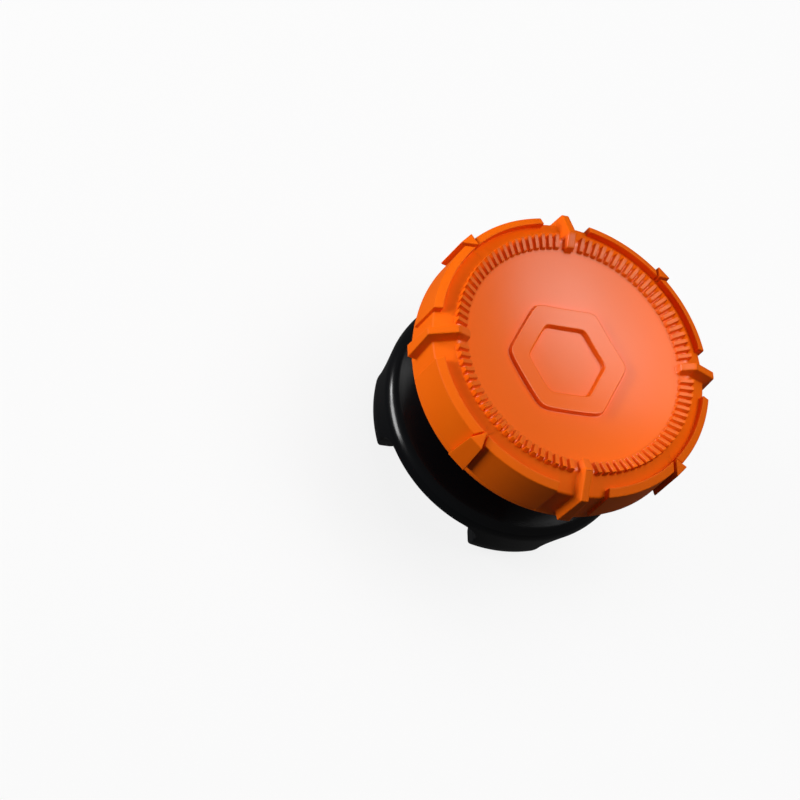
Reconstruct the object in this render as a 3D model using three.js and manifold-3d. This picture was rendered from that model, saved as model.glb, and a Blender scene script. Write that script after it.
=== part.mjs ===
// Clip-on thumb grip for a controller stick, tall version: an orange cap on a black clip base.
// Millimetres, +Z up. The grip stands upright on its four prong tips, and the origin is on the floor
// under its axis. Heights are built up from the prong tips to the cap's crest.
import * as THREE from 'three';
import { mergeVertices } from 'three/addons/utils/BufferGeometryUtils.js';
import Module from 'manifold-3d';

const wasm = await Module();
wasm.setup();

// Clip base, from the prong tips up
const prongCount = 4;
const prongLength = 4.35;
const prongHalfWidth = 3.2;
const prongTipHalfWidth = 2.85;
const prongCornerRadius = 0.8;
const prongRootFillet = 1.8;
const tipSetback = 1.04;
const tipFlatWidth = 0.45;
const tipTaperLength = 2.65;
const tipTaperBow = 0.25;
const noseReach = 0.55;
const noseBottom = 1.2;
const noseThickness = 0.6;
const notchHeight = 2.7;
const ringOuterRadius = 12.24;
const ringWall = 1.84;
const ringHeight = 1.85;
const ringShoulderRound = 0.9;
const socketDepth = 1.0;
const neckRadius = 6.8;
const flareHeight = 3.45;
const neckHeight = 2.84;
const headThickness = 1.5;
const headSetback = 0.3;
const headClearance = 0.25;

// Cap: the body without its raised features, with heights measured down from the ridge of dish and rim
const dishCurve = 26;
const ridgeRadius = 10.85;
const shoulderRadius = 12.85;
const shoulderDrop = 1.06;
const lipRadius = 13.0;
const lipChamferWidth = 0.32;
const bandDrop = 5.2;
const lipDrop = 5.86;
const capWall = 1.5;

// The raised features end above the plain band, and run this far into the body
const featureFootDrop = 4.4;
const featureRoot = 0.5;

// Teeth across the ridge
const toothCount = 88;
const toothPitchAngle = 3.66;
const toothInward = 0.81;
const toothOutward = 0.31;
const toothHeight = 0.37;
const toothHalfWidth = 0.17;
const toothDraft = 0.2;

// Long ribs: rises over the rim and the dish, and how proud of the wall they stand
const longRibCount = 4;
const longRibInward = 0.89;
const longRibOutward = 0.35;
const longRibRise = 1.15;
const longRibInnerRise = 0.75;
const longRibProud = 0.71;
const longRibFootProud = 0.775;
const longRibHalfWidth = 0.34;
const longRibFootHalfWidth = 0.57;
const longRibDraft = 0.22;

// Short ribs: a pointed top, then a face that widens downwards
const shortRibRise = 1.06;
const shortRibPoint = 0.48;
const shortRibProud = 0.72;
const shortRibFootProud = 0.735;
const shortRibHalfWidth = 0.72;
const shortRibFootHalfWidth = 0.98;

// Pads between the ribs
const padRise = 0.8;
const padInward = 0.47;
const padProud = 0.25;
const padFootProud = 0.275;
const padEndAtLongRib = 2.25;
const padEndDraft = 0.14;
const padGapAtShortRib = 0.17;

// Raised six-sided frame in the dish
const frameSides = 6;
const frameRadius = 5.6;
const frameBarWidth = 1.9;
const frameHeight = 0.5;
const frameCorner = 0.8;

// Fineness of the round surfaces
const roundSteps = 96;
const dishSteps = 7;
const arcSteps = 6;

// Places worked out from the sizes above
const ringBottomZ = prongLength;
const ringTopZ = ringBottomZ + ringHeight;
const flareTopZ = ringTopZ + flareHeight;
const lipZ = flareTopZ + neckHeight;
const ridgeZ = lipZ + lipDrop;
const footZ = ridgeZ - featureFootDrop;
const headBottomZ = lipZ + headSetback;
const headTopZ = headBottomZ + headThickness;
const recessRadius = shoulderRadius - capWall;
const headRadius = recessRadius - headClearance;
const socketRadius = ringOuterRadius - ringWall;
const toothInnerRadius = ridgeRadius - toothInward;
const toothOuterRadius = ridgeRadius + toothOutward;
const padInnerRadius = shoulderRadius - padInward;
const shortRibAngles = evenAngles(longRibCount, 180 / longRibCount);

const capMaterial = new THREE.MeshStandardMaterial({ color: 0xff6a00, roughness: 0.55, metalness: 0 });
const baseMaterial = new THREE.MeshStandardMaterial({ color: 0x0b0c10, roughness: 0.12, metalness: 0 });

// Height of the dish surface at a distance from the axis
function dishZ(radius) {
  return ridgeZ + Math.sqrt(dishCurve ** 2 - ridgeRadius ** 2) - Math.sqrt(dishCurve ** 2 - radius ** 2);
}

// Height of the sloping rim, which runs on outwards in a straight line
function rimZ(radius) {
  return ridgeZ - (shoulderDrop * (radius - ridgeRadius)) / (shoulderRadius - ridgeRadius);
}

// Radius of the drafted wall at a drop below the ridge
function wallRadius(drop) {
  const share = (drop - shoulderDrop) / (bandDrop - shoulderDrop);
  return shoulderRadius + share * (lipRadius - shoulderRadius);
}

function evenAngles(count, first = 0) {
  return Array.from({ length: count }, (_, i) => first + (360 * i) / count);
}

// A three.js geometry as a manifold solid
function solidOf(geometry) {
  const plain = geometry.clone();
  plain.deleteAttribute('normal');
  plain.deleteAttribute('uv');
  const merged = mergeVertices(plain, 1e-5);
  return new wasm.Manifold(new wasm.Mesh({
    numProp: 3,
    vertProperties: new Float32Array(merged.attributes.position.array),
    triVerts: new Uint32Array(merged.index.array),
  }));
}

// A manifold solid as a named mesh
function meshOf(solid, name, material) {
  const data = solid.getMesh();
  const geometry = new THREE.BufferGeometry();
  geometry.setAttribute('position', new THREE.BufferAttribute(new Float32Array(data.vertProperties), 3));
  geometry.setIndex(new THREE.BufferAttribute(new Uint32Array(data.triVerts), 1));
  geometry.computeVertexNormals();
  const mesh = new THREE.Mesh(geometry, material);
  mesh.name = name;
  return mesh;
}

// A closed outline of [radius, height] points, anticlockwise as drawn, turned about Z
function turned(points) {
  const outline = points.map(([radius, height]) => new THREE.Vector2(radius, height));
  const geometry = new THREE.LatheGeometry(outline, roundSteps);
  geometry.rotateX(Math.PI / 2);
  return solidOf(geometry);
}

// Points of an elliptical arc between two angles in degrees
function arcPoints(centre, halfAxes, fromDegrees, toDegrees) {
  return Array.from({ length: arcSteps + 1 }, (_, i) => {
    const angle = THREE.MathUtils.degToRad(fromDegrees + ((toDegrees - fromDegrees) * i) / arcSteps);
    return [centre[0] + halfAxes[0] * Math.cos(angle), centre[1] + halfAxes[1] * Math.sin(angle)];
  });
}

// Points of the dish, raised by some height, from a radius in to the axis
function dishPoints(fromRadius, raised = 0) {
  return Array.from({ length: dishSteps + 1 }, (_, i) => {
    const radius = (fromRadius * (dishSteps - i)) / dishSteps;
    return [radius, dishZ(radius) + raised];
  });
}

// A bar along +X: a side outline of [radius, height, half width] corners
function drafted(outline) {
  const shape = new THREE.Shape(outline.map(([radius, height]) => new THREE.Vector2(radius, height)));
  const geometry = new THREE.ExtrudeGeometry(shape, { depth: 1, steps: 1, bevelEnabled: false });
  const position = geometry.attributes.position;
  for (let i = 0; i < position.count; i += 1) {
    const radius = position.getX(i);
    const height = position.getY(i);
    const side = position.getZ(i) > 0.5 ? -1 : 1;
    const corner = outline.find(([r, z]) => Math.hypot(r - radius, z - height) < 1e-4);
    position.setXYZ(i, radius, side * corner[2], height);
  }
  return solidOf(geometry);
}

// A solid between a lower and an upper outline with the same number of [x, y, z] corners
function lofted(lower, upper) {
  const count = lower.length;
  const geometry = new THREE.BufferGeometry();
  geometry.setAttribute('position', new THREE.Float32BufferAttribute([...lower, ...upper].flat(), 3));
  const faces = [];
  for (let i = 0; i < count; i += 1) {
    const next = (i + 1) % count;
    faces.push(i, next, count + next, i, count + next, count + i);
  }
  for (let i = 1; i < count - 1; i += 1) {
    faces.push(0, i + 1, i, count, count + i, count + i + 1);
  }
  geometry.setIndex(faces);
  return solidOf(geometry);
}

// Copies of one solid, turned to each angle in degrees
function around(solid, angles) {
  return angles.map((angle) => solid.rotate([0, 0, angle]));
}

function joined(solids) {
  return solids.reduce((sum, solid) => sum.add(solid));
}

// Cap: the turned body with its dish, rim, wall, lip and the recess for the head plate
function capBody() {
  return turned([
    [0, headTopZ],
    [recessRadius, headTopZ],
    [recessRadius, lipZ],
    [lipRadius - lipChamferWidth, lipZ],
    [lipRadius, ridgeZ - bandDrop],
    [shoulderRadius, rimZ(shoulderRadius)],
    ...dishPoints(ridgeRadius),
  ]);
}

// One tooth: a drafted bar across the ridge, its top level with the dish's curve
function tooth() {
  const rootHalfWidth = toothHalfWidth + toothDraft * (toothHeight + featureRoot);
  const overhang = toothDraft * featureRoot;
  return drafted([
    [toothInnerRadius - overhang, dishZ(toothInnerRadius) - featureRoot, rootHalfWidth],
    [toothOuterRadius + overhang, rimZ(toothOuterRadius) - featureRoot, rootHalfWidth],
    [toothOuterRadius, dishZ(toothOuterRadius) + toothHeight, toothHalfWidth],
    [toothInnerRadius, dishZ(toothInnerRadius) + toothHeight, toothHalfWidth],
  ]);
}

// Angles of the teeth: equal groups between the long ribs
function toothAngles() {
  const perGroup = Math.floor(toothCount / longRibCount);
  return shortRibAngles.flatMap((middle) =>
    Array.from({ length: perGroup }, (_, i) => middle + toothPitchAngle * (i - (perGroup - 1) / 2)));
}

// One long rib: up from the dish to its crest, down over the rim, then down the wall
function longRib() {
  const innerRadius = ridgeRadius - longRibInward;
  const crestRadius = ridgeRadius + longRibOutward;
  const outerRadius = shoulderRadius + longRibProud;
  const footRadius = wallRadius(featureFootDrop) + longRibFootProud;
  const depth = longRibRise + featureRoot;
  const wider = longRibDraft * depth;
  return drafted([
    [innerRadius, dishZ(innerRadius) - featureRoot, longRibHalfWidth + wider],
    [crestRadius, rimZ(crestRadius) - featureRoot, longRibHalfWidth + wider],
    [outerRadius - depth, rimZ(outerRadius - depth) - featureRoot, longRibHalfWidth + wider],
    [footRadius - depth, footZ, longRibFootHalfWidth + wider],
    [footRadius, footZ, longRibFootHalfWidth],
    [outerRadius, rimZ(outerRadius) + longRibRise, longRibHalfWidth],
    [crestRadius, rimZ(crestRadius) + longRibRise, longRibHalfWidth],
    [innerRadius, dishZ(innerRadius) + longRibInnerRise, longRibHalfWidth],
  ]);
}

// Plan of a short rib as a triangle that points inwards: at its top, or at its foot for share 1
function shortRibPlan(share, clearance = 0, reach = 0) {
  const mix = (top, foot) => top + share * (foot - top);
  const topFace = shoulderRadius + shortRibProud;
  const footFace = wallRadius(featureFootDrop) + shortRibFootProud;
  const slope = shortRibHalfWidth / (shortRibProud + shortRibPoint);
  const face = mix(topFace, footFace) + reach;
  const point = mix(shoulderRadius - shortRibPoint, footFace - shortRibFootHalfWidth / slope);
  const tip = point - clearance / Math.sin(Math.atan(slope));
  return [[tip, 0], [face, -slope * (face - tip)], [face, slope * (face - tip)]];
}

// One short rib: its top slopes with the rim, and its flanks are flat down to the foot
function shortRib() {
  const top = shortRibPlan(0).map(([x, y]) => [x, y, rimZ(x) + shortRibRise]);
  const foot = shortRibPlan(1).map(([x, y]) => [x, y, footZ]);
  return lofted(foot, top);
}

// The pads' gap at a short rib: its plan with a clearance all round, open outwards and at both ends
function shortRibGap() {
  const topZ = rimZ(padInnerRadius) + padRise;
  const reach = lipRadius - shoulderRadius + longRibProud;
  const over = featureRoot / (topZ - footZ);
  const plan = (share) => shortRibPlan(share, padGapAtShortRib, reach)
    .map(([x, y]) => [x, y, topZ + share * (footZ - topZ)]);
  return lofted(plan(1 + over), plan(-over));
}

// The pads' gap at a long rib: wider outwards, so that the pads' ends are drafted
function longRibGap() {
  const halfWidth = (radius) => padEndAtLongRib + padEndDraft * (radius - padInnerRadius);
  const inner = padInnerRadius - featureRoot;
  const outer = lipRadius + longRibProud;
  const plan = (height) => [
    [inner, -halfWidth(inner), height],
    [outer, -halfWidth(outer), height],
    [outer, halfWidth(outer), height],
    [inner, halfWidth(inner), height],
  ];
  return lofted(plan(footZ - featureRoot), plan(ridgeZ + featureRoot));
}

// The pads: one turned band that follows rim and wall, with its gaps cut out
function pads() {
  const padFace = shoulderRadius + padProud;
  const rootRadius = shoulderRadius - featureRoot - padInward;
  const band = turned([
    [rootRadius, footZ],
    [wallRadius(featureFootDrop) + padFootProud, footZ],
    [padFace, rimZ(padFace) + padRise],
    [padInnerRadius, rimZ(padInnerRadius) + padRise],
    [padInnerRadius, rimZ(padInnerRadius) - featureRoot],
    [rootRadius, rimZ(padInnerRadius) - featureRoot],
    [rootRadius, footZ],
  ]);
  const gaps = [
    ...around(longRibGap(), evenAngles(longRibCount)),
    ...around(shortRibGap(), shortRibAngles),
  ];
  return band.subtract(joined(gaps));
}

// A many-sided outline with rounded corners
function roundedPolygon(radius) {
  const corners = evenAngles(frameSides).map((angle) => new THREE.Vector2(radius, 0)
    .rotateAround(new THREE.Vector2(), THREE.MathUtils.degToRad(angle)));
  const shape = new THREE.Shape();
  corners.forEach((corner, i) => {
    const before = corners[(i + frameSides - 1) % frameSides];
    const after = corners[(i + 1) % frameSides];
    const start = corner.clone().add(before.clone().sub(corner).setLength(frameCorner));
    const end = corner.clone().add(after.clone().sub(corner).setLength(frameCorner));
    if (i === 0) {
      shape.moveTo(start.x, start.y);
    } else {
      shape.lineTo(start.x, start.y);
    }
    shape.quadraticCurveTo(corner.x, corner.y, end.x, end.y);
  });
  return shape;
}

// The raised frame: its top keeps one height over the dish
function dishFrame() {
  const shape = roundedPolygon(frameRadius);
  shape.holes.push(roundedPolygon(frameRadius - frameBarWidth));
  const rootZ = dishZ(0) - featureRoot;
  const depth = dishZ(frameRadius) + frameHeight + featureRoot - rootZ;
  const column = new THREE.ExtrudeGeometry(shape, { depth, bevelEnabled: false, curveSegments: 3 });
  column.translate(0, 0, rootZ);
  const reach = frameRadius + featureRoot;
  const below = turned([[0, rootZ], [reach, rootZ], ...dishPoints(reach, frameHeight)]);
  return solidOf(column).intersect(below);
}

function cap() {
  return joined([
    capBody(),
    pads(),
    ...around(tooth(), toothAngles()),
    ...around(longRib(), evenAngles(longRibCount)),
    ...around(shortRib(), shortRibAngles),
    dishFrame(),
  ]);
}

// Base: head plate, neck, flare and ring, turned as one, with the socket below
function baseBody() {
  const flareRadius = ringOuterRadius - ringShoulderRound;
  const round = [ringShoulderRound, ringShoulderRound];
  const shoulder = arcPoints([flareRadius, ringTopZ - ringShoulderRound], round, 0, 90);
  const flare = arcPoints([flareRadius, flareTopZ], [flareRadius - neckRadius, flareHeight], 270, 180);
  return turned([
    [0, ringBottomZ + socketDepth],
    [socketRadius, ringBottomZ + socketDepth],
    [socketRadius, ringBottomZ],
    [ringOuterRadius, ringBottomZ],
    ...shoulder,
    ...flare.slice(1),
    [neckRadius, headBottomZ],
    [headRadius, headBottomZ],
    [headRadius, headTopZ],
    [0, headTopZ],
  ]);
}

// Side outline of a prong, seen along its radius: root fillets above, rounded corners at the tip
function prongOutline() {
  const rootZ = ringBottomZ + featureRoot / 2;
  const filletX = prongHalfWidth + prongRootFillet;
  const filletZ = ringBottomZ - prongRootFillet;
  const cornerX = prongTipHalfWidth - prongCornerRadius;
  const quarter = Math.PI / 2;
  const shape = new THREE.Shape();
  shape.moveTo(-filletX, rootZ);
  shape.lineTo(-filletX, ringBottomZ);
  shape.absarc(-filletX, filletZ, prongRootFillet, quarter, 0, true);
  shape.lineTo(-prongTipHalfWidth, prongCornerRadius);
  shape.absarc(-cornerX, prongCornerRadius, prongCornerRadius, 2 * quarter, 3 * quarter, false);
  shape.lineTo(cornerX, 0);
  shape.absarc(cornerX, prongCornerRadius, prongCornerRadius, 3 * quarter, 4 * quarter, false);
  shape.lineTo(prongHalfWidth, filletZ);
  shape.absarc(filletX, filletZ, prongRootFillet, 2 * quarter, quarter, true);
  shape.lineTo(filletX, rootZ);
  return shape;
}

// The prongs: one turned section with its hook nose, cut to the side outline at each place
function prongs() {
  const rootZ = ringBottomZ + featureRoot / 2;
  const tipOuter = ringOuterRadius - tipSetback;
  const tipInner = tipOuter - tipFlatWidth;
  const noseRadius = socketRadius - noseReach;
  const section = turned([
    [tipInner, 0],
    [tipOuter, 0],
    [ringOuterRadius - tipSetback / 2 + tipTaperBow, tipTaperLength / 2],
    [ringOuterRadius, tipTaperLength],
    [ringOuterRadius, rootZ],
    [socketRadius, rootZ],
    [socketRadius, notchHeight],
    [noseRadius, noseBottom + noseThickness],
    [noseRadius, noseBottom],
    [tipInner, 0],
  ]);
  const depth = ringOuterRadius + featureRoot;
  const settings = { depth, bevelEnabled: false, curveSegments: arcSteps };
  const block = new THREE.ExtrudeGeometry(prongOutline(), settings);
  block.rotateX(Math.PI / 2);
  return section.intersect(joined(around(solidOf(block), evenAngles(prongCount))));
}

const grip = new THREE.Group();
grip.add(meshOf(cap(), 'cap', capMaterial));
grip.add(meshOf(baseBody().add(prongs()), 'clip_base', baseMaterial));

export default grip;
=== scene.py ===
"""Clip-on thumb grip for a controller stick: a satin orange rubber cap on a gloss black clip base.

Sizes are millimetres and heights are above the prong tips. The long ribs and the prongs lie on +X, +Y, -X
and -Y. Both mouldings repeat in eighths, each from a long rib at 0 degrees to a short rib at 45 degrees,
so one eighth is worked out as whole numpy arrays and then mirrored and turned. Meshes go in as metres.
"""
import math

import bpy
import numpy as np
from mathutils import Matrix


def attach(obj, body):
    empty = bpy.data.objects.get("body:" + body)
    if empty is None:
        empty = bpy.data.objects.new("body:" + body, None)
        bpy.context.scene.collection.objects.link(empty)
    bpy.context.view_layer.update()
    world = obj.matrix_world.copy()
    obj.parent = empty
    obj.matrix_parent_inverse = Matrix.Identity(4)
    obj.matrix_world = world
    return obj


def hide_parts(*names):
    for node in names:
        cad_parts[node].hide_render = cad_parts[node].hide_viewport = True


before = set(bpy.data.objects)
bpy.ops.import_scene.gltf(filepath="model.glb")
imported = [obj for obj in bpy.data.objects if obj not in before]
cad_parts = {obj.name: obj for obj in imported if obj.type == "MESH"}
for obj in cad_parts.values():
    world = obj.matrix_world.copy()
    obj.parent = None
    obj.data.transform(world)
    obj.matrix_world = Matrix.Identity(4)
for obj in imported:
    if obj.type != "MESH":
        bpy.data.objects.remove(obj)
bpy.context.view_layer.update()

MM = 0.001

# Clip base, from the prong tips up
PRONG_LENGTH = 4.35
PRONG_HALF_WIDTH = 3.2
PRONG_TIP_HALF_WIDTH = 2.85
PRONG_CORNER = 0.8
PRONG_ROOT_FILLET = 1.8
TIP_SETBACK = 1.04
TIP_FLAT = 0.45
TIP_TAPER = 2.65
NOSE_REACH = 0.55
NOSE_BOTTOM = 1.2
NOSE_THICKNESS = 0.6
NOSE_SOFTENING = 0.14
NOTCH_Z = 2.7
RING_R = 12.24
RING_WALL = 1.84
RING_HEIGHT = 1.85
RING_ROUND = 1.4
FLARE_FOOT_SLOPE = math.radians(20)
SOCKET_DEPTH = 1.0
SOCKET_CORNER_DROP = 0.3
NECK_R = 6.8
FLARE_HEIGHT = 3.45
NECK_HEIGHT = 2.84
HEAD_THICKNESS = 1.5
HEAD_SETBACK = 0.3
HEAD_CLEARANCE = 0.25
BASE_EDGE = 0.16
NECK_PLAIN_START = 0.1
BASE_FAN_R = 1.5

# Cap body, with drops measured down from the ridge between dish and rim
DISH_CURVE = 26.0
RIDGE_R = 10.85
SHOULDER_R = 12.85
SHOULDER_DROP = 1.06
LIP_R = 13.0
LIP_CHAMFER = 0.32
BAND_DROP = 5.2
LIP_DROP = 5.86
CAP_WALL = 1.5
CAP_FAN_R = 2.0
FOOT_DROP = 4.4

# Teeth, ribs and pads
TEETH_PER_EIGHTH = 11
TOOTH_PITCH = 3.66
TOOTH_INWARD = 0.81
TOOTH_OUTWARD = 0.31
TOOTH_HEIGHT = 0.37
TOOTH_HALF_WIDTH = 0.17
TOOTH_DRAFT = 0.2
LONG_INWARD = 0.89
LONG_OUTWARD = 0.35
LONG_RISE = 1.15
LONG_INNER_RISE = 0.75
LONG_PROUD = 0.71
LONG_FOOT_PROUD = 0.775
LONG_HALF_WIDTH = 0.34
LONG_FOOT_HALF_WIDTH = 0.57
LONG_DRAFT = 0.22
LONG_END_DRAFT = 0.09
SHORT_RISE = 1.06
SHORT_POINT = 0.48
SHORT_PROUD = 0.72
SHORT_FOOT_PROUD = 0.735
SHORT_HALF_WIDTH = 0.72
SHORT_FOOT_HALF_WIDTH = 0.98
PAD_RISE = 0.8
PAD_INWARD = 0.47
PAD_PROUD = 0.25
PAD_FOOT_PROUD = 0.275
PAD_END = 2.25
PAD_END_DRAFT = 0.14
PAD_GAP = 0.17

# Raised six-sided frame in the dish
FRAME_SIDES = 6
FRAME_R = 5.6
FRAME_BAR = 1.9
FRAME_HEIGHT = 0.5
FRAME_DRAFT = 0.06
FRAME_CORNER_POWER = 20
FRAME_APRON = 0.35

# Rounded edges and foot fillets of the moulded rubber
RIDGE_ROUND = 0.3
SHOULDER_ROUND = 0.16
LIP_ROUND = 0.12
RIB_EDGE = 0.09
RIB_FILLET = 0.09
PAD_EDGE = 0.08
PAD_FILLET = 0.07
TOOTH_EDGE = 0.04
TOOTH_FILLET = 0.04
PLAIN_ROUND = 0.03
SPREAD = 0.055
LEAST_HEIGHT = 0.05
FLANK_ROUND_SHARE = 0.4
POINT_ROUND_SHARE = 0.6

# Places worked out from the sizes above
RING_TOP_Z = PRONG_LENGTH + RING_HEIGHT
FLARE_TOP_Z = RING_TOP_Z + FLARE_HEIGHT
LIP_Z = FLARE_TOP_Z + NECK_HEIGHT
RIDGE_Z = LIP_Z + LIP_DROP
FOOT_Z = RIDGE_Z - FOOT_DROP
BAND_Z = RIDGE_Z - BAND_DROP
HEAD_BOTTOM_Z = LIP_Z + HEAD_SETBACK
HEAD_TOP_Z = HEAD_BOTTOM_Z + HEAD_THICKNESS
RECESS_R = SHOULDER_R - CAP_WALL
HEAD_R = RECESS_R - HEAD_CLEARANCE
SOCKET_R = RING_R - RING_WALL
SOCKET_Z = PRONG_LENGTH + SOCKET_DEPTH
TOOTH_IN = RIDGE_R - TOOTH_INWARD
TOOTH_OUT = RIDGE_R + TOOTH_OUTWARD
PAD_IN = SHOULDER_R - PAD_INWARD
EIGHTH = math.radians(45)
MM_TO_ARC = 1 / SHOULDER_R


def dish_z(radius):
    """Height of the dish: a sphere of radius DISH_CURVE that meets the ridge."""
    drop = math.sqrt(DISH_CURVE ** 2 - RIDGE_R ** 2)
    return RIDGE_Z + drop - np.sqrt(DISH_CURVE ** 2 - np.square(radius))


def rim_z(radius):
    """Height of the rim: a straight slope down from the ridge, run on past the shoulder."""
    return RIDGE_Z - SHOULDER_DROP * (radius - RIDGE_R) / (SHOULDER_R - RIDGE_R)


def wall_r(height):
    """Radius of the wall, which widens evenly from the shoulder to the band."""
    share = (RIDGE_Z - height - SHOULDER_DROP) / (BAND_DROP - SHOULDER_DROP)
    return SHOULDER_R + share * (LIP_R - SHOULDER_R)


def mix(first, second, share):
    """A share of the way from the first value to the second."""
    return first + share * (second - first)


def chain(corners, rounds, arc_rows, straight_rows):
    """Rows along a line of corners: a quadratic arc at each corner, from one rounding before it to one
    rounding after it, and evenly spaced rows on the straight stretch that follows."""
    corners = np.array(corners, float)
    way = np.diff(corners, axis=0)
    way /= np.linalg.norm(way, axis=1)[:, None]
    before = np.vstack([way[:1], way])
    after = np.vstack([way, way[-1:]])
    reach = np.array(rounds, float)[:, None]
    entry = corners - reach * before
    leave = corners + reach * after
    rows = []
    for k, corner in enumerate(corners):
        t = np.linspace(0, 1, arc_rows[k])[:, None] if arc_rows[k] > 1 else np.array([[0.5]])
        rows.append((1 - t) ** 2 * entry[k] + 2 * t * (1 - t) * corner + t ** 2 * leave[k])
        if k < len(corners) - 1:
            t = np.linspace(0, 1, straight_rows[k] + 2)[1:-1, None]
            rows.append(mix(leave[k], entry[k + 1], t))
    return np.vstack(rows)


# The cap's corners, one line each: foot, foot edge, shoulder, pad top, pad foot, tooth foot, tooth top,
# ridge, inner tooth top, inner tooth foot and a last point on the dish
ARC_ROWS = [3, 3, 4, 3, 3, 3, 3, 4, 3, 3, 1]
STRAIGHT_ROWS = [0, 4, 3, 0, 4, 0, 1, 3, 0, 2]
PAD_FOOT_CORNER = 4
TOOTH_FOOT_CORNER = 5
TOOTH_FOOT_REACH = 0.06
TOOTH_HEEL_REACH = 0.045
TOOTH_FOOT_R = TOOTH_OUT + TOOTH_FOOT_REACH
TOOTH_HEEL_R = TOOTH_IN - TOOTH_HEEL_REACH
LONG_HEEL_R = RIDGE_R - LONG_INWARD - LONG_END_DRAFT
PAD_FOOT_R = PAD_IN - SPREAD
DISH_START_R = 9.55


def rows_before(corner):
    """Number of rows before a corner's first row."""
    return sum(ARC_ROWS[:corner]) + sum(STRAIGHT_ROWS[:corner])


def body_line():
    """The cap's bare body: rows on the wall, rim, ridge and dish that stand under each feature's rows."""
    foot_edge = FOOT_Z + 2 * SPREAD
    corners = [
        (wall_r(FOOT_Z), FOOT_Z),
        (wall_r(foot_edge), foot_edge),
        (SHOULDER_R, rim_z(SHOULDER_R)),
        (PAD_IN + SPREAD, rim_z(PAD_IN + SPREAD)),
        (PAD_FOOT_R, rim_z(PAD_FOOT_R)),
        (TOOTH_FOOT_R, rim_z(TOOTH_FOOT_R)),
        (TOOTH_OUT - SPREAD, rim_z(TOOTH_OUT - SPREAD)),
        (RIDGE_R, RIDGE_Z),
        (TOOTH_IN + SPREAD, dish_z(TOOTH_IN + SPREAD)),
        (TOOTH_HEEL_R, dish_z(TOOTH_HEEL_R)),
        (DISH_START_R, dish_z(DISH_START_R)),
    ]
    rounds = [PLAIN_ROUND, PLAIN_ROUND, SHOULDER_ROUND, PLAIN_ROUND, PLAIN_ROUND, PLAIN_ROUND,
              PLAIN_ROUND, RIDGE_ROUND - PLAIN_ROUND, PLAIN_ROUND, PLAIN_ROUND, 0]
    return corners, chain(corners, rounds, ARC_ROWS, STRAIGHT_ROWS)


def outer_line(corners, foot_proud, proud, rise, inner, edge, fillet):
    """A pad's or short rib's top: out at the foot, up its face, in along the rim and down again."""
    face = SHOULDER_R + proud
    line = list(corners)
    line[1] = (wall_r(FOOT_Z) + foot_proud, FOOT_Z)
    line[2] = (face, rim_z(face) + rise)
    line[3] = (inner, rim_z(inner) + rise)
    rounds = [fillet, edge, edge, edge, fillet] + [PLAIN_ROUND] * 5 + [0]
    return chain(line, rounds, ARC_ROWS, STRAIGHT_ROWS)


def tooth_line(corners):
    """A tooth's top: up from the rim, level with the dish's curve, and down to the dish."""
    line = list(corners)
    line[6] = (TOOTH_OUT, dish_z(TOOTH_OUT) + TOOTH_HEIGHT)
    line[7] = (RIDGE_R, dish_z(RIDGE_R) + TOOTH_HEIGHT)
    line[8] = (TOOTH_IN, dish_z(TOOTH_IN) + TOOTH_HEIGHT)
    rounds = [PLAIN_ROUND] * 5 + [TOOTH_FILLET, TOOTH_EDGE, PLAIN_ROUND, TOOTH_EDGE, TOOTH_FILLET, 0]
    return chain(line, rounds, ARC_ROWS, STRAIGHT_ROWS)


def long_rib_line(corners):
    """A long rib's top: up its face, over the rim to its crest, down to its inner end and to the dish."""
    inner = RIDGE_R - LONG_INWARD
    crest = RIDGE_R + LONG_OUTWARD
    face = SHOULDER_R + LONG_PROUD
    inner_z = dish_z(inner) + LONG_INNER_RISE
    crest_z = rim_z(crest) + LONG_RISE
    line = list(corners)
    line[1] = (wall_r(FOOT_Z) + LONG_FOOT_PROUD, FOOT_Z)
    line[2] = (face, rim_z(face) + LONG_RISE)
    for k in (3, 4, 5):
        line[k] = (corners[k][0] + SPREAD, rim_z(corners[k][0] + SPREAD) + LONG_RISE)
    line[6] = (crest, crest_z)
    share = (crest - RIDGE_R) / (crest - inner)
    line[7] = (RIDGE_R, mix(crest_z, inner_z, share))
    line[8] = (inner, inner_z)
    line[9] = (LONG_HEEL_R, dish_z(LONG_HEEL_R))
    rounds = [RIB_FILLET, RIB_EDGE, RIB_EDGE, PLAIN_ROUND, PLAIN_ROUND, PLAIN_ROUND, RIB_EDGE,
              PLAIN_ROUND, RIB_EDGE, RIB_FILLET, 0]
    return chain(line, rounds, ARC_ROWS, STRAIGHT_ROWS)


def edge_columns(top, root, height, outward, rounding, fillet):
    """Six columns down a feature's flank: its top edge as a quarter round, then a quarter fillet at its
    foot. Gives the sideways place and the level, 1 on the feature's top and 0 on the body."""
    height = np.maximum(height, LEAST_HEIGHT)
    edge = np.minimum(rounding, FLANK_ROUND_SHARE * height)
    foot = np.minimum(fillet, FLANK_ROUND_SHARE * height)
    quarter = 1 - math.sqrt(0.5)
    place = [
        top - outward * edge,
        top - outward * edge * quarter + (root - top) * edge * quarter / height,
        top + (root - top) * edge / height,
        root + (top - root) * foot / height,
        root + outward * foot * quarter,
        root + outward * foot,
    ]
    level = [
        np.ones_like(height),
        1 - quarter * edge / height,
        1 - edge / height,
        foot / height,
        quarter * foot / height,
        np.zeros_like(height),
    ]
    return np.stack(place, 1), np.stack(level, 1)


def bar_columns(axis, body, line, place, level):
    """Columns of a bar whose sides run along one axis: the azimuth on the body at each sideways place,
    and the shift that takes the level's share of the way up to the bar's flat top."""
    x = np.sqrt(np.square(body[:, :1]) - np.square(place))
    out = level * (line[:, :1] - x)
    up = level * (line[:, 1:] - body[:, 1:])
    shift = np.stack([out * math.cos(axis), out * math.sin(axis), up], 2)
    return axis + np.arctan2(place, x), shift


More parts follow.
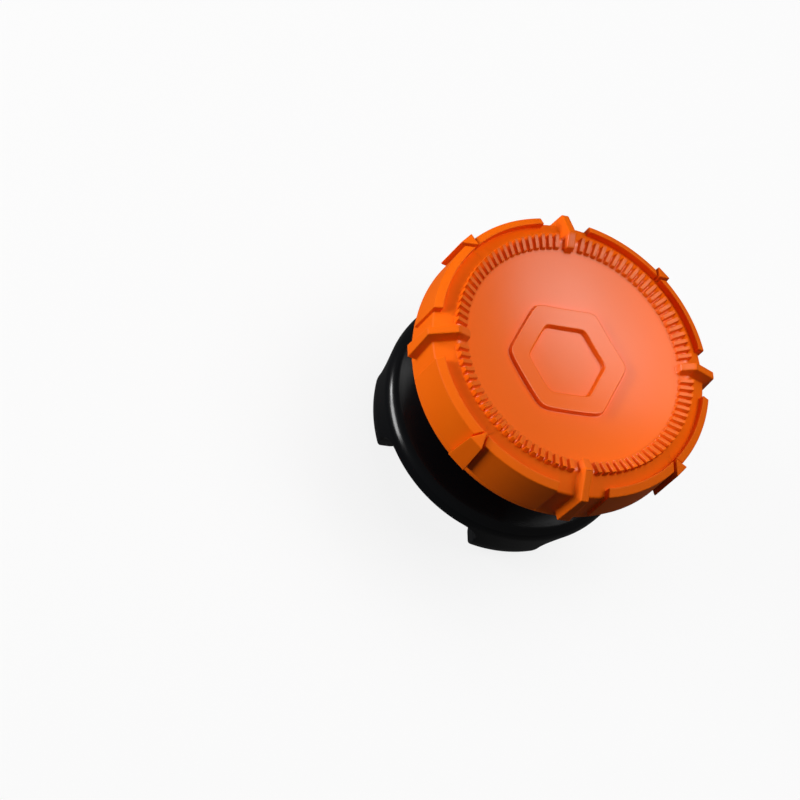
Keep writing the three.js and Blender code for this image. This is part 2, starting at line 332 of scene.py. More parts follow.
def ring_columns(body, line, azimuth, level):
    """Columns of a turned pad: the shift goes straight out and up at each azimuth."""
    out = level * (line[:, :1] - body[:, :1])
    up = level * (line[:, 1:] - body[:, 1:])
    return np.stack([out * np.cos(azimuth), out * np.sin(azimuth), up * np.ones_like(azimuth)], 2)


def between(first, last, count):
    """Evenly spaced columns between two columns, without the two."""
    share = np.linspace(0, 1, count + 2)[None, 1:-1]
    return mix(first[:, None], last[:, None], share)


def short_rib_tip(radius, height, clearance=0.0):
    """Place along its axis of the short rib's point, which moves inwards towards the foot."""
    slope = SHORT_HALF_WIDTH / (SHORT_PROUD + SHORT_POINT)
    top = SHOULDER_R - SHORT_POINT
    foot = wall_r(FOOT_Z) + SHORT_FOOT_PROUD - SHORT_FOOT_HALF_WIDTH / slope
    top_z = rim_z(radius) + SHORT_RISE
    share = np.clip((top_z - height) / (top_z - FOOT_Z), 0, 1)
    return mix(top, foot, share) - clearance / math.sin(math.atan(slope))


def flank_angle(radius, tip):
    """Angle from the short rib's axis at which its slanting flank, run from its tip, meets a radius."""
    slant = math.atan(SHORT_HALF_WIDTH / (SHORT_PROUD + SHORT_POINT))
    return slant - np.arcsin(np.minimum(tip / radius, 1) * math.sin(slant))


def long_rib_columns(body, line):
    """From the long rib's axis out: two columns on its top and six down its flank."""
    height = np.linalg.norm(line - body, axis=1)
    face_top_z = rim_z(SHOULDER_R + LONG_PROUD) + LONG_RISE
    top = np.interp(line[:, 1], [FOOT_Z, face_top_z], [LONG_FOOT_HALF_WIDTH, LONG_HALF_WIDTH])
    top[rows_before(3):] = LONG_HALF_WIDTH
    root = top + np.maximum(LONG_DRAFT * height, PLAIN_ROUND)
    place, level = edge_columns(top, root, height, 1, RIB_EDGE, RIB_FILLET)
    place = np.hstack([np.zeros((len(body), 1)), 0.6 * place[:, :1], place])
    level = np.hstack([np.ones((len(body), 2)), level])
    return bar_columns(0.0, body, line, place, level)


def pad_end(radius):
    """Azimuth at which a pad ends beside the long rib."""
    return np.arcsin((PAD_END + PAD_END_DRAFT * (radius - PAD_IN)) / radius)


def outer_columns(body, pad, short, first, count):
    """Columns outside the teeth: bare floor, pad, gap and short rib up to the rib's axis at 45 degrees."""
    pad_height = np.linalg.norm(pad - body, axis=1)
    angle = pad_end(pad[:, 0])
    near, near_level = edge_columns(
        angle, pad_end(body[:, 0]) - PLAIN_ROUND / LIP_R, pad_height * MM_TO_ARC, -1,
        PAD_EDGE * MM_TO_ARC, PAD_FILLET * MM_TO_ARC)
    near, near_level = near[:, ::-1], near_level[:, ::-1]
    top_tip = short_rib_tip(pad[:, 0], pad[:, 1], PAD_GAP)
    root_tip = short_rib_tip(body[:, 0], body[:, 1], PAD_GAP)
    far, far_level = edge_columns(
        EIGHTH - flank_angle(pad[:, 0], top_tip), EIGHTH - flank_angle(body[:, 0], root_tip),
        pad_height * MM_TO_ARC, 1, PAD_EDGE * MM_TO_ARC, PAD_FILLET * MM_TO_ARC)

    short_height = np.linalg.norm(short - body, axis=1)
    slope = SHORT_HALF_WIDTH / (SHORT_PROUD + SHORT_POINT)
    half = slope * (short[:, 0] - short_rib_tip(short[:, 0], short[:, 1]))
    half = np.maximum(half, PLAIN_ROUND)
    root = body[:, 0] * np.sin(flank_angle(body[:, 0], short_rib_tip(body[:, 0], body[:, 1])))
    root = np.maximum(root, PLAIN_ROUND)
    edge = np.minimum(RIB_EDGE, POINT_ROUND_SHARE * half)
    fillet = np.minimum(RIB_FILLET, POINT_ROUND_SHARE * root)
    place, level = edge_columns(-half, -root, short_height, -1, edge, fillet)
    place, level = place[:, ::-1], level[:, ::-1]
    place = np.hstack([place, 0.5 * place[:, -1:], np.zeros((len(body), 1))])
    level = np.hstack([level, np.ones((len(body), 2))])
    rib_azimuth, rib_shift = bar_columns(EIGHTH, body, short, place, level)

    floor_count = 8
    pad_count = count - floor_count - near.shape[1] - far.shape[1] - 1 - rib_azimuth.shape[1]
    floor = between(first, near[:, 0], floor_count)
    top = between(near[:, -1], far[:, 0], pad_count)
    gap = between(far[:, -1], rib_azimuth[:, 0], 1)
    azimuth = np.hstack([floor, near, top, far, gap, rib_azimuth])
    level = np.hstack([0 * floor, near_level, 1 + 0 * top, far_level, 0 * gap])
    pads = ring_columns(body, pad, azimuth[:, :level.shape[1]], level)
    shift = np.concatenate([pads, rib_shift], 1)
    shift[rows_before(TOOTH_FOOT_CORNER):] = 0
    return azimuth, shift


def tooth_columns(body, line, first):
    """Columns through the teeth: a gap column, then ten columns a tooth and one for the gap after it."""
    height = line[:, 1] - body[:, 1]
    half = np.full(len(body), TOOTH_HALF_WIDTH)
    root = half + np.maximum(TOOTH_DRAFT * height, PLAIN_ROUND)
    place, level = edge_columns(half, root, height, 1, TOOTH_EDGE, TOOTH_FILLET)
    kept = [0, 1, 2, 3, 5]
    place = np.hstack([-place[:, kept[::-1]], place[:, kept]])
    level = np.hstack([level[:, kept[::-1]], level[:, kept]])
    azimuths, shifts = [], []
    pitch = math.radians(TOOTH_PITCH)
    bare = np.zeros((len(body), 1, 3))
    for i in range(TEETH_PER_EIGHTH):
        axis = EIGHTH - pitch * (TEETH_PER_EIGHTH - 0.5 - i)
        azimuth, shift = bar_columns(axis, body, line, place, level)
        gap_after = np.full((len(body), 1), axis + 0.5 * pitch)
        if i == 0:
            azimuths.append(between(first, azimuth[:, 0], 1))
            shifts.append(bare)
        azimuths += [azimuth, gap_after]
        shifts += [shift, bare]
    shift = np.concatenate(shifts, 1)
    shift[:rows_before(TOOTH_FOOT_CORNER)] = 0
    return np.hstack(azimuths), shift


def placed(radius, azimuth, height):
    """Points from radius, azimuth and height."""
    shape = np.broadcast(radius, azimuth, height).shape
    full = [np.broadcast_to(v, shape) for v in (radius * np.cos(azimuth), radius * np.sin(azimuth), height)]
    return np.stack(full, -1)


def eighth_to_round(points):
    """Eight copies of an eighth, every second one mirrored about its 45 degree line, without the doubled
    columns where they meet."""
    mirrored = points[:, :0:-1, [1, 0, 2]]
    quarter = np.concatenate([points[:, :-1], mirrored], 1)
    x, y, z = np.moveaxis(quarter, 2, 0)
    turns = [np.stack(t, 2) for t in ((x, y, z), (-y, x, z), (-x, -y, z), (y, -x, z))]
    return np.concatenate(turns, 1)


def six_sided(azimuth, apothem):
    """Radius of a hexagon with rounded corners: where the power mean of its six sides' distances equals
    the apothem."""
    turn = 2 * math.pi / FRAME_SIDES
    facing = turn * (np.arange(FRAME_SIDES) + 0.5)
    near = np.maximum(np.cos(azimuth[..., None] - facing), 0)
    return apothem / np.sum(near ** FRAME_CORNER_POWER, -1) ** (1 / FRAME_CORNER_POWER)


def dish_rows(azimuth):
    """Rows from the teeth in to the axis, with the raised six-sided frame: each row is a hexagon whose
    apothem and height follow the frame's rounded side outline, and the outermost rows turn to circles."""
    across = math.cos(math.pi / FRAME_SIDES)
    outer = FRAME_R * across
    inner = (FRAME_R - FRAME_BAR) * across
    drafted = FRAME_DRAFT + FRAME_HEIGHT * FRAME_DRAFT
    corners = [(outer + FRAME_APRON, 0), (outer + drafted, 0), (outer, FRAME_HEIGHT),
               (inner, FRAME_HEIGHT), (inner - drafted, 0), (inner - FRAME_APRON, 0)]
    side = chain(corners, [0, RIB_FILLET, RIB_EDGE, RIB_EDGE, RIB_FILLET, 0], [1, 4, 4, 4, 4, 1],
                 [0, 0, 2, 0, 0])
    hexagon = six_sided(azimuth[None, :], side[:, :1])
    frame_part = placed(hexagon, azimuth, dish_z(hexagon) + side[:, 1:])
    share = np.linspace(0, 1, 7)[1:-1, None]
    outside = mix(DISH_START_R, hexagon[:1], share)
    share = np.linspace(0, 1, 6)[1:-1, None]
    inside = mix(1, 0, share) * mix(hexagon[-1:], inner, share)
    return np.concatenate([placed(outside, azimuth, dish_z(outside)), frame_part,
                           placed(inside, azimuth, dish_z(inside))])


def cap_points():
    """The cap as one closed grid: rows run from the recess, out round the lip, up the wall and in over
    rim, ridge and dish; columns run round the axis and follow the flanks of every feature."""
    corners, body = body_line()
    pad = outer_line(corners, PAD_FOOT_PROUD, PAD_PROUD, PAD_RISE, PAD_IN, PAD_EDGE, PAD_FILLET)
    short = outer_line(corners, SHORT_FOOT_PROUD, SHORT_PROUD, SHORT_RISE,
                       SHOULDER_R - SHORT_POINT + PLAIN_ROUND, RIB_EDGE, RIB_FILLET)
    long_azimuth, long_shift = long_rib_columns(body, long_rib_line(corners))
    last = long_azimuth[:, -1]
    inner_azimuth, inner_shift = tooth_columns(body, tooth_line(corners), last)
    outer_azimuth, outer_shift = outer_columns(body, pad, short, last, inner_azimuth.shape[1])
    blend_from = rows_before(PAD_FOOT_CORNER) + ARC_ROWS[PAD_FOOT_CORNER] - 1
    blend_to = rows_before(TOOTH_FOOT_CORNER)
    share = np.clip((np.arange(len(body)) - blend_from) / (blend_to - blend_from), 0, 1)[:, None]
    azimuth = np.hstack([long_azimuth, mix(outer_azimuth, inner_azimuth, share)])
    shift = np.concatenate([long_shift, outer_shift + inner_shift], 1)
    eighth = placed(body[:, :1], azimuth, body[:, 1:]) + shift
    under = chain([(CAP_FAN_R, HEAD_TOP_Z), (RECESS_R, HEAD_TOP_Z), (RECESS_R, LIP_Z),
                   (LIP_R - LIP_CHAMFER, LIP_Z), (LIP_R, BAND_Z)],
                  [0, LIP_ROUND, LIP_ROUND, LIP_ROUND, LIP_ROUND], [1, 2, 3, 3, 3], [2, 1, 0, 0])
    under_points = placed(under[:, :1], azimuth[:1], under[:, 1:])
    round_points = eighth_to_round(np.concatenate([under_points, eighth]))
    last_row = round_points[-1]
    around = np.arctan2(last_row[:, 1], last_row[:, 0])
    return np.concatenate([round_points, dish_rows(around)])


# Share of a rise along the lower edge that counts when the columns above it are spaced
RISE_TRAVEL = 0.35


def prong_edge():
    """Lower edge of the base over an eighth, seen from outside: tip, rounded corner, side, root fillet,
    then the ring's underside. Gives sideways place, height and share of the ring's underside."""
    corner_x = PRONG_TIP_HALF_WIDTH - PRONG_CORNER
    fillet_x = PRONG_HALF_WIDTH + PRONG_ROOT_FILLET
    fillet_z = PRONG_LENGTH - PRONG_ROOT_FILLET
    flat = np.linspace(0, corner_x, 8)[:-1]
    turn = np.linspace(-90, 0, 9) * math.pi / 180
    side = np.linspace(0, 1, 7)[1:-1]
    root = np.linspace(180, 90, 15) * math.pi / 180
    share = np.linspace(0, 1, 15)[1:]
    place = np.concatenate([
        flat,
        corner_x + PRONG_CORNER * np.cos(turn),
        mix(PRONG_TIP_HALF_WIDTH, PRONG_HALF_WIDTH, side),
        fillet_x + PRONG_ROOT_FILLET * np.cos(root),
        fillet_x + share * (RING_R * EIGHTH - fillet_x),
    ])
    height = np.concatenate([
        0 * flat,
        PRONG_CORNER + PRONG_CORNER * np.sin(turn),
        mix(PRONG_CORNER, fillet_z, side),
        fillet_z + PRONG_ROOT_FILLET * np.sin(root),
        PRONG_LENGTH + 0 * share,
    ])
    ring_share = np.concatenate([np.zeros(len(place) - len(share)), share])
    return place, height, ring_share


def outer_radius(height):
    """Radius of the prong's outer face: the ring's radius, less a parabola's setback near the tip."""
    share = np.clip((TIP_TAPER - height) / TIP_TAPER, 0, 1)
    return RING_R - TIP_SETBACK * share ** 2


def inner_radius(height):
    """Radius of the prong's inner face: socket wall, notch, hook nose and the slope to the tip, with the
    corners softened by a running mean."""
    nose = SOCKET_R - NOSE_REACH
    tip = RING_R - TIP_SETBACK - TIP_FLAT
    heights = [0, NOSE_BOTTOM, NOSE_BOTTOM + NOSE_THICKNESS, NOTCH_Z]
    radii = [tip, nose, nose, SOCKET_R]
    window = np.linspace(-NOSE_SOFTENING, NOSE_SOFTENING, 7)
    return np.mean([np.interp(height + step, heights, radii) for step in window], axis=0)


def base_points():
    """The base as one closed grid: rows run from the socket's ceiling down its wall, across the lower edge
    of prongs and ring, up the outside, over shoulder, flare and neck, and in over the head plate."""
    place, height, ring_share = prong_edge()
    root_x = PRONG_HALF_WIDTH + PRONG_ROOT_FILLET
    along = np.stack([np.gradient(place), np.gradient(height)])
    along /= np.hypot(*along)
    away = np.stack([along[1], -along[0]])
    away[:, 0] = (0, -1)
    away[:, ring_share > 0] = np.array([[0], [-1]])
    travel = np.abs(np.diff(place)) + RISE_TRAVEL * np.abs(np.diff(height))
    upper = EIGHTH * np.concatenate([[0], np.cumsum(travel)]) / np.sum(travel)

    def azimuth_of(side, radius):
        reach = np.arcsin(root_x / radius)
        return np.arcsin(np.minimum(side, root_x) / radius) + ring_share * (EIGHTH - reach)

    def inset_edge(amount):
        return place - amount * away[0], height - amount * away[1]

    def wall(radius_of, top_z, shares):
        side, low = inset_edge(BASE_EDGE)
        low_azimuth = azimuth_of(side, radius_of(low))
        azimuth = mix(low_azimuth, upper, shares[:, None])
        level = mix(low, top_z, shares[:, None])
        return placed(radius_of(level), azimuth, level)

    def edge_rows(radius_of, sign, angles):
        rows = []
        for angle in angles:
            side, low = inset_edge(BASE_EDGE * (1 - math.sin(angle)))
            radius = radius_of(low) + sign * BASE_EDGE * (1 - math.cos(angle))
            rows.append(placed(radius, azimuth_of(side, radius), low))
        return rows

    wall_top_z = SOCKET_Z - SOCKET_CORNER_DROP
    ceiling = chain([(BASE_FAN_R, SOCKET_Z), (SOCKET_R, SOCKET_Z), (SOCKET_R, wall_top_z)],
                    [0, BASE_EDGE, 0], [1, 4, 1], [2, 0])
    outer_top_z = RING_TOP_Z - RING_ROUND
    angles = np.linspace(0, math.pi / 2, 5)
    inner_edge = edge_rows(inner_radius, 1, angles)
    outer_edge = edge_rows(outer_radius, -1, angles[::-1])
    middle = [mix(inner_edge[-1], outer_edge[0], share) for share in (1 / 3, 2 / 3)]
    lower = np.stack(inner_edge + middle + outer_edge)
    inner_wall = wall(inner_radius, wall_top_z, np.linspace(1, 0, 30)[1:-1])
    outer_wall = wall(outer_radius, outer_top_z, np.linspace(0, 1, 18)[1:])

    round_angles = np.linspace(0, math.pi / 2 - FLARE_FOOT_SLOPE, 12)[1:, None]
    shoulder = np.hstack([RING_R - RING_ROUND * (1 - np.cos(round_angles)),
                          outer_top_z + RING_ROUND * np.sin(round_angles)])
    foot_r, foot_z = shoulder[-1]
    bend_z = foot_z + (foot_r - NECK_R) * math.tan(FLARE_FOOT_SLOPE)
    t = np.linspace(0, 1, 25)[1:, None]
    flare = ((1 - t) ** 2 * shoulder[-1] + 2 * t * (1 - t) * np.array([NECK_R, bend_z])
             + t ** 2 * np.array([NECK_R, FLARE_TOP_Z]))
    head = chain([(NECK_R, FLARE_TOP_Z + NECK_PLAIN_START), (NECK_R, HEAD_BOTTOM_Z),
                  (HEAD_R, HEAD_BOTTOM_Z), (HEAD_R, HEAD_TOP_Z), (BASE_FAN_R, HEAD_TOP_Z)],
                 [0, BASE_EDGE, BASE_EDGE, BASE_EDGE, 0], [1, 4, 4, 4, 1], [2, 1, 0, 2])
    plain = np.vstack([shoulder, flare, head])
    eighth = np.concatenate([
        placed(ceiling[:, :1], upper[None, :], ceiling[:, 1:]),
        inner_wall,
        lower,
        outer_wall,
        placed(plain[:, :1], upper[None, :], plain[:, 1:]),
    ])
    return eighth_to_round(eighth)


def vertex_normals(vertices, *faces):
    """Vertex normals weighted by area: each face's normal, as long as its area, is added up at its
    corners, so that large faces stay flat and the narrow roundings between them turn the light."""
    normals = np.zeros_like(vertices)
    for corners in faces:
        points = vertices[corners]
        if corners.shape[1] == 4:
            turned = np.cross(points[:, 2] - points[:, 0], points[:, 3] - points[:, 1])
        else:
            turned = np.cross(points[:, 1] - points[:, 0], points[:, 2] - points[:, 0])
        for corner in corners.T:
            np.add.at(normals, corner, turned)
    return normals / np.maximum(np.linalg.norm(normals, axis=1), 1e-12)[:, None]


def grid_piece(name, points, material):
    """A closed mesh from rows of points round the axis: quads between the rows, and a fan to a point on
    the axis at each end. The faces are turned to point outwards."""
    rows, columns = points.shape[:2]
    grid = np.arange(rows * columns).reshape(rows, columns)
    following = np.roll(grid, -1, axis=1)
    quads = np.stack([grid[:-1], following[:-1], following[1:], grid[1:]], 2).reshape(-1, 4)
    ends = rows * columns + np.arange(2)
    first_fan = np.stack([following[0], grid[0], np.full(columns, ends[0])], 1)
    last_fan = np.stack([grid[-1], following[-1], np.full(columns, ends[1])], 1)
    axis_points = np.zeros((2, 3))
    axis_points[:, 2] = points[[0, -1], :, 2].mean(1)
    vertices = np.vstack([points.reshape(-1, 3), axis_points])
    a, b, c, d = vertices[quads].transpose(1, 0, 2)
    volume = np.sum(a * np.cross(b, c)) + np.sum(a * np.cross(c, d))
    if volume < 0:
        quads, first_fan, last_fan = quads[:, ::-1], first_fan[:, ::-1], last_fan[:, ::-1]
    corners = np.concatenate([quads.ravel(), first_fan.ravel(), last_fan.ravel()])
    sizes = np.concatenate([np.full(len(quads), 4), np.full(2 * columns, 3)])
    mesh = bpy.data.meshes.new(name)
    mesh.vertices.add(len(vertices))
    mesh.vertices.foreach_set("co", (vertices * MM).astype(np.float32).ravel())
    mesh.loops.add(len(corners))
    mesh.loops.foreach_set("vertex_index", corners.astype(np.int32))
    mesh.polygons.add(len(sizes))
    mesh.polygons.foreach_set("loop_start", (np.cumsum(sizes) - sizes).astype(np.int32))
    mesh.polygons.foreach_set("use_smooth", np.ones(len(sizes), bool))
    mesh.update(calc_edges=True)
    mesh.validate()
    mesh.normals_split_custom_set_from_vertices(vertex_normals(vertices, quads, first_fan, last_fan))
    mesh.materials.append(material)
    piece = bpy.data.objects.new(name, mesh)
    bpy.context.scene.collection.objects.link(piece)
    return piece


# Finishes: linear colours, each with that of its slow patches, and the values of grain and shader
# Painted shade: the rim orange and its patch colour are the dish's orange darkened, so that the teeth, the
# gaps between them, the rim and the walls render darker than the dish
SHADED_RIM_ORANGE = (0.85, 0.122, 0.0)
SHADED_RIM_ORANGE_PATCH = (0.89, 0.142, 0.001)
DISH_ORANGE = (1.0, 0.145, 0.0)
RUBBER_GRAIN = {"Grain Scale": 9000.0, "Patch Scale": 220.0, "Roughness": 0.5, "Roughness Spread": 0.05}
RUBBER_SHADER = {"IOR": 1.5, "Specular IOR Level": 0.12, "Coat Roughness": 0.34, "Coat IOR": 1.5}
RUBBER_BUMP = 0.25
BASE_BLACK = (0.0014, 0.0016, 0.0022)
BASE_BLACK_PATCH = (0.0024, 0.0028, 0.0038)
PLASTIC_GRAIN = {"Grain Scale": 1200.0, "Patch Scale": 180.0, "Roughness": 0.2, "Roughness Spread": 0.05}
PLASTIC_SHADER = {"IOR": 1.5, "Specular IOR Level": 0.35}
PLASTIC_BUMP = 0.05
GRAIN_DEPTH = 0.02
DISH_MASK_EDGE = 0.3


def new_material(name):
    """A node material with its Principled shader."""
    material = bpy.data.materials.new(name)
    material.use_nodes = True
    return material, material.node_tree.nodes, material.node_tree.links


def moulded_grain():
    """Shader group of a moulded surface: fine grain and slow unevenness from Object coordinates. Puts out
    a mask for colour, a roughness and a height for bump."""
    group = bpy.data.node_groups.new("moulded_grain", "ShaderNodeTree")
    face = group.interface
    for socket, value in (("Grain Scale", 9000.0), ("Patch Scale", 260.0), ("Roughness", 0.4),
                          ("Roughness Spread", 0.06)):
        face.new_socket(name=socket, in_out="INPUT", socket_type="NodeSocketFloat").default_value = value
    for socket in ("Patches", "Roughness", "Height"):
        face.new_socket(name=socket, in_out="OUTPUT", socket_type="NodeSocketFloat")
    nodes, links = group.nodes, group.links
    given = nodes.new("NodeGroupInput")
    result = nodes.new("NodeGroupOutput")
    coordinates = nodes.new("ShaderNodeTexCoord")
    grain = nodes.new("ShaderNodeTexNoise")
    grain.inputs["Detail"].default_value = 3.0
    patches = nodes.new("ShaderNodeTexNoise")
    patches.inputs["Detail"].default_value = 2.0
    links.new(coordinates.outputs["Object"], grain.inputs["Vector"])
    links.new(coordinates.outputs["Object"], patches.inputs["Vector"])
    links.new(given.outputs["Grain Scale"], grain.inputs["Scale"])
    links.new(given.outputs["Patch Scale"], patches.inputs["Scale"])
    spread = nodes.new("ShaderNodeMath")
    spread.operation = "MULTIPLY_ADD"
    centred = nodes.new("ShaderNodeMath")
    centred.operation = "SUBTRACT"
    centred.inputs[1].default_value = 0.5
    links.new(patches.outputs["Fac"], centred.inputs[0])
    links.new(centred.outputs[0], spread.inputs[0])
    links.new(given.outputs["Roughness Spread"], spread.inputs[1])
    links.new(given.outputs["Roughness"], spread.inputs[2])
    links.new(patches.outputs["Fac"], result.inputs["Patches"])
    links.new(spread.outputs[0], result.inputs["Roughness"])
    links.new(grain.outputs["Fac"], result.inputs["Height"])
    return group


def dish_coat_and_painted_shade(material, shade_free_radius, coat_radius, colour):
    """A smooth dish with painted shade round it: the dish's own orange inside one radius round the axis, and
    a satin coat inside another that takes in the teeth as well. Outside the first radius the darker moulded
    colours stay, as painted shade on the teeth, the gaps, the rim and the walls. Both end over a soft edge."""
    nodes, links = material.node_tree.nodes, material.node_tree.links
    shader = nodes["Principled BSDF"]
    coordinates = nodes.new("ShaderNodeTexCoord")
    flat = nodes.new("ShaderNodeVectorMath")
    flat.operation = "MULTIPLY"
    flat.inputs[1].default_value = (1, 1, 0)
    away = nodes.new("ShaderNodeVectorMath")
    away.operation = "LENGTH"
    links.new(coordinates.outputs["Object"], flat.inputs[0])
    links.new(flat.outputs["Vector"], away.inputs[0])

    def inside(radius):
        mask = nodes.new("ShaderNodeMapRange")
        mask.interpolation_type = "SMOOTHSTEP"
        mask.inputs["From Min"].default_value = (radius - DISH_MASK_EDGE) * MM
        mask.inputs["From Max"].default_value = radius * MM
        mask.inputs["To Min"].default_value = 1.0
        mask.inputs["To Max"].default_value = 0.0
        links.new(away.outputs["Value"], mask.inputs["Value"])
        return mask.outputs["Result"]

    links.new(inside(coat_radius), shader.inputs["Coat Weight"])
    # Painted shade: outside the dish the darker moulded colours stay, and inside it they give way to the
    # dish's own orange
    shade_free_dish = nodes.new("ShaderNodeMix")
    shade_free_dish.data_type = "RGBA"
    shade_free_dish.inputs["B"].default_value = (*colour, 1)
    links.new(inside(shade_free_radius), shade_free_dish.inputs["Factor"])
    links.new(shader.inputs["Base Color"].links[0].from_socket, shade_free_dish.inputs["A"])
    links.new(shade_free_dish.outputs["Result"], shader.inputs["Base Color"])


def finish_material(name, group, low_colour, high_colour, settings, sockets, bump):
    """A moulded finish: two close colours mixed by slow patches, uneven roughness and grain as bump."""
    material, nodes, links = new_material(name)
    shader = nodes["Principled BSDF"]
    for socket, value in sockets.items():
        shader.inputs[socket].default_value = value
    grain = nodes.new("ShaderNodeGroup")
    grain.node_tree = group
    for socket, value in settings.items():
        grain.inputs[socket].default_value = value
    colours = nodes.new("ShaderNodeMix")
    colours.data_type = "RGBA"
    colours.inputs["A"].default_value = (*low_colour, 1)
    colours.inputs["B"].default_value = (*high_colour, 1)
    links.new(grain.outputs["Patches"], colours.inputs["Factor"])
    links.new(colours.outputs["Result"], shader.inputs["Base Color"])
    links.new(grain.outputs["Roughness"], shader.inputs["Roughness"])
    relief = nodes.new("ShaderNodeBump")
    relief.inputs["Strength"].default_value = bump
    relief.inputs["Distance"].default_value = GRAIN_DEPTH * MM
    links.new(grain.outputs["Height"], relief.inputs["Height"])
    links.new(relief.outputs["Normal"], shader.inputs["Normal"])
    return material


def orange_rubber(grain):
    """The cap's satin rubber, darker outside the dish as painted shade on the teeth, rim and walls, with a
    satin coat on the dish and the teeth.
    """
    material = finish_material("satin_orange_rubber", grain, SHADED_RIM_ORANGE, SHADED_RIM_ORANGE_PATCH,
                               RUBBER_GRAIN, RUBBER_SHADER, RUBBER_BUMP)
    # Painted shade outside the dish: the darker orange on the teeth, the gaps, the rim and the walls
    dish_coat_and_painted_shade(material, TOOTH_IN, TOOTH_OUT, DISH_ORANGE)
    return material


def black_plastic(grain):
    """The base's gloss black plastic."""
    return finish_material("gloss_black_plastic", grain, BASE_BLACK, BASE_BLACK_PATCH,
                           PLASTIC_GRAIN, PLASTIC_SHADER, PLASTIC_BUMP)


# Soft lamps round the grip: azimuth and elevation in degrees, distance, width of the square, and level.
# A level is the brightness that the lamp gives a white surface facing it.
LAMP_AIM = (0, 0, 12)
LAMPS = {
    "top": (30, 82, 300, 160, 0.22),
    "right": (0, 62, 300, 150, 0.28),
    "back": (50, 62, 300, 150, 0.16),
    "back_left": (100, 62, 300, 150, 0.15),
    "left_back": (155, 7, 300, 60, 0.3),
    "left": (174, 7, 300, 120, 0.74),
}


def area_light(name, azimuth, elevation, distance, size, level):
    """A soft square lamp that faces the grip."""
    turn = Matrix.Rotation(math.radians(azimuth), 4, "Z")
    tilt = Matrix.Rotation(math.radians(90 - elevation), 4, "Y")
    data = bpy.data.lights.new(name, "AREA")
    data.shape = "SQUARE"
    data.size = size * MM
    data.energy = level * (math.pi * distance * MM) ** 2
    lamp = bpy.data.objects.new(name, data)
    away = Matrix.Translation((0, 0, distance * MM))
    aim = Matrix.Translation([value * MM for value in LAMP_AIM])
    lamp.matrix_world = aim @ turn @ tilt @ away
    bpy.context.scene.collection.objects.link(lamp)
    return lamp


# Camera: the photograph's view of the grip, in the grip's own frame
CAMERA_PLACE = (-72.32, -74.28, 154.09)
CAMERA_RIGHT = (0.928502, -0.025002, 0.370484)
CAMERA_UP = (-0.133568, 0.908462, 0.396052)
CAMERA_AHEAD = (0.346473, 0.41722, -0.840169)
CAMERA_LENS = 89.9
SENSOR_WIDTH = 36.0


def photo_camera():
    """A camera at the photograph's viewing angle."""
    data = bpy.data.cameras.new("photo_camera")
    data.lens = CAMERA_LENS
    data.sensor_width = SENSOR_WIDTH
    data.clip_start = 0.01
    data.clip_end = 10.0
    camera = bpy.data.objects.new("photo_camera", data)
    axes = np.stack([CAMERA_RIGHT, CAMERA_UP, -np.array(CAMERA_AHEAD)], 1)
    place = np.array(CAMERA_PLACE) * MM
    camera.matrix_world = Matrix([[*row, p] for row, p in zip(axes, place)] + [[0, 0, 0, 1]])
    bpy.context.scene.collection.objects.link(camera)
    bpy.context.scene.camera = camera
    return camera


def shown_rays(nodes, links, reflected):
    """One for camera rays, the reflected level for glossy and transmission rays, and zero for the rays
    that light the object."""
    path = nodes.new("ShaderNodeLightPath")
    mirrored = nodes.new("ShaderNodeMath")
    mirrored.operation = "MAXIMUM"
    links.new(path.outputs["Is Glossy Ray"], mirrored.inputs[0])
    links.new(path.outputs["Is Transmission Ray"], mirrored.inputs[1])
    dimmed = nodes.new("ShaderNodeMath")
    dimmed.operation = "MULTIPLY"
    dimmed.inputs[1].default_value = reflected
    links.new(mirrored.outputs[0], dimmed.inputs[0])
    shown = nodes.new("ShaderNodeMath")
    shown.operation = "MAXIMUM"
    links.new(path.outputs["Is Camera Ray"], shown.inputs[0])
    links.new(dimmed.outputs[0], shown.inputs[1])
    return shown.outputs[0]


# Studio: how white the floor looks by itself, its grey where it is lit and seen and where it only throws
# light back at the object, how bright the room is for the object, and how strongly the white floor and
# room show in the grip's gloss, because the photograph's black is deep
FLOOR_HALF = 900.0
FLOOR_OWN_WHITE = 0.85
FLOOR_SEEN = 0.9
FLOOR_BOUNCE = 0.06
FLOOR_REFLECTED = 0.02
ROOM_LEVEL = 0.05
ROOM_REFLECTED = 0.06


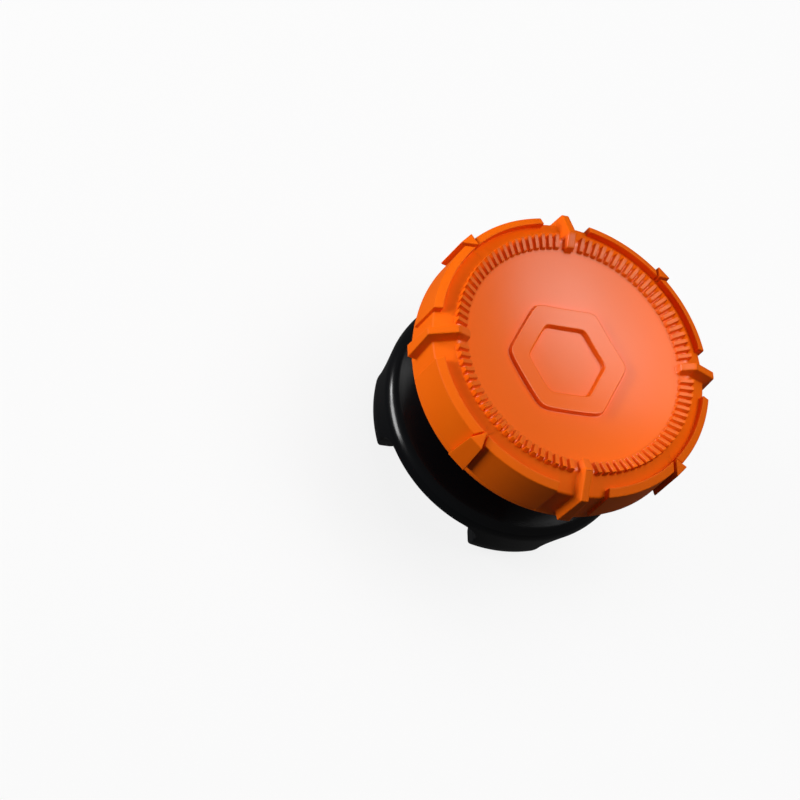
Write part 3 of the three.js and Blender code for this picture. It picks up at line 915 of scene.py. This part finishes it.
def studio_floor():
    """A white floor. Seen directly it is mostly white by itself, and the rest is lit, so that it keeps the
    object's shadow. In the grip's reflections it shows only a small share of that white, and is mostly its
    dark lit grey."""
    half = FLOOR_HALF * MM
    corners = [(-half, -half, 0), (half, -half, 0), (half, half, 0), (-half, half, 0)]
    mesh = bpy.data.meshes.new("floor")
    mesh.from_pydata(corners, [], [(0, 1, 2, 3)])
    material, nodes, links = new_material("white_floor")
    nodes.remove(nodes["Principled BSDF"])
    shown = shown_rays(nodes, links, FLOOR_REFLECTED)
    grey = nodes.new("ShaderNodeMix")
    grey.inputs["A"].default_value = FLOOR_BOUNCE
    grey.inputs["B"].default_value = FLOOR_SEEN
    links.new(shown, grey.inputs["Factor"])
    lit = nodes.new("ShaderNodeBsdfDiffuse")
    links.new(grey.outputs["Result"], lit.inputs["Color"])
    white = nodes.new("ShaderNodeEmission")
    share = nodes.new("ShaderNodeMath")
    share.operation = "MULTIPLY"
    share.inputs[1].default_value = FLOOR_OWN_WHITE
    links.new(shown, share.inputs[0])
    both = nodes.new("ShaderNodeMixShader")
    links.new(share.outputs[0], both.inputs[0])
    links.new(lit.outputs[0], both.inputs[1])
    links.new(white.outputs[0], both.inputs[2])
    links.new(both.outputs[0], nodes["Material Output"].inputs["Surface"])
    mesh.materials.append(material)
    floor = bpy.data.objects.new("floor", mesh)
    bpy.context.scene.collection.objects.link(floor)
    return floor


def studio_room():
    """White surroundings: strength 1 where they are seen, and the room's level where they light."""
    world = bpy.data.worlds.new("white_room")
    bpy.context.scene.world = world
    world.use_nodes = True
    nodes, links = world.node_tree.nodes, world.node_tree.links
    level = nodes.new("ShaderNodeMix")
    level.inputs["A"].default_value = ROOM_LEVEL
    level.inputs["B"].default_value = 1.0
    links.new(shown_rays(nodes, links, ROOM_REFLECTED), level.inputs["Factor"])
    nodes["Background"].inputs["Color"].default_value = (1, 1, 1, 1)
    links.new(level.outputs["Result"], nodes["Background"].inputs["Strength"])


def main():
    bpy.context.scene.view_settings.view_transform = "Standard"
    grain = moulded_grain()
    cap = grid_piece("rubber_cap", cap_points(), orange_rubber(grain))
    base = grid_piece("clip_base_moulding", base_points(), black_plastic(grain))
    for piece, node, slot in ((cap, "cap", "orange_rubber"), (base, "clip_base", "black_gloss_plastic")):
        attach(piece, "root")
        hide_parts(node)
        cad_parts[node].data.materials.clear()
        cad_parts[node].data.materials.append(piece.data.materials[0])
    studio_floor()
    studio_room()
    photo_camera()
    for name, (azimuth, elevation, distance, size, level) in LAMPS.items():
        area_light(name, azimuth, elevation, distance, size, level)


main()
